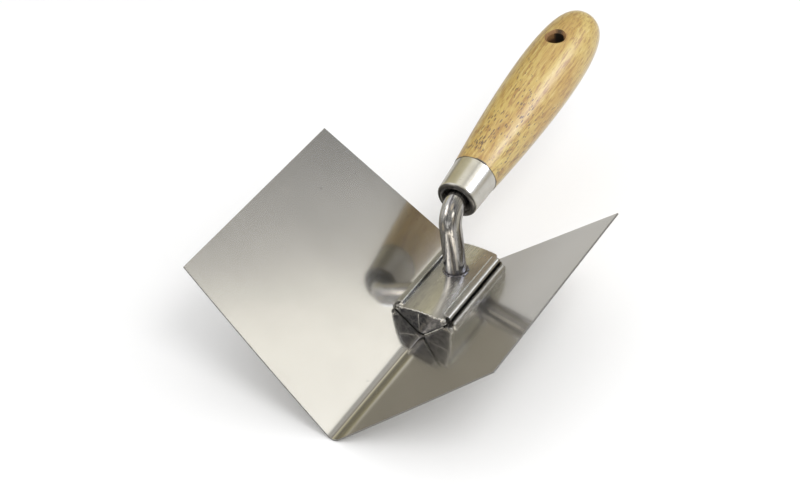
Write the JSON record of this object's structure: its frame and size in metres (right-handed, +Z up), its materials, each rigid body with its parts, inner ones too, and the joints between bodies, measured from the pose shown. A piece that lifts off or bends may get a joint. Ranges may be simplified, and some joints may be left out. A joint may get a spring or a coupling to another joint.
{
  "type": "inside corner trowel",
  "caption": "Hand trowel for plastering inside corners: a V-bent steel blade, a folded bracket, a bent shank and a turned wood handle.",
  "frame": {"origin": "middle of the blade's outer corner line, which is the line that runs in the wall corner", "axes": "+Y along the corner line towards the handle, +X to the right seen from the front, +Z up the middle of the V"},
  "size_m": [0.145, 0.2347, 0.0785],
  "materials": {
    "blade_steel": "fine brushed stainless sheet with soft reflections",
    "bracket_steel": "cold-rolled stainless, smoother than the blade, with sheared and folded edges",
    "shank_steel": "bright drawn rod with draw lines and small pits",
    "weld_metal": "as welded, slightly rippled",
    "ferrule_nickel": "satin nickel plate over drawn steel",
    "handle_wood": "clear-varnished golden hardwood with dark pores"
  },
  "bodies": {
    "root": {"blade": "blade_steel", "saddle": "bracket_steel", "spot_welds": "blade_steel", "top_plate": "bracket_steel", "shank": "shank_steel", "shank_weld": "weld_metal", "ferrule": "ferrule_nickel", "handle": "handle_wood"}
  },
  "joints": []
}
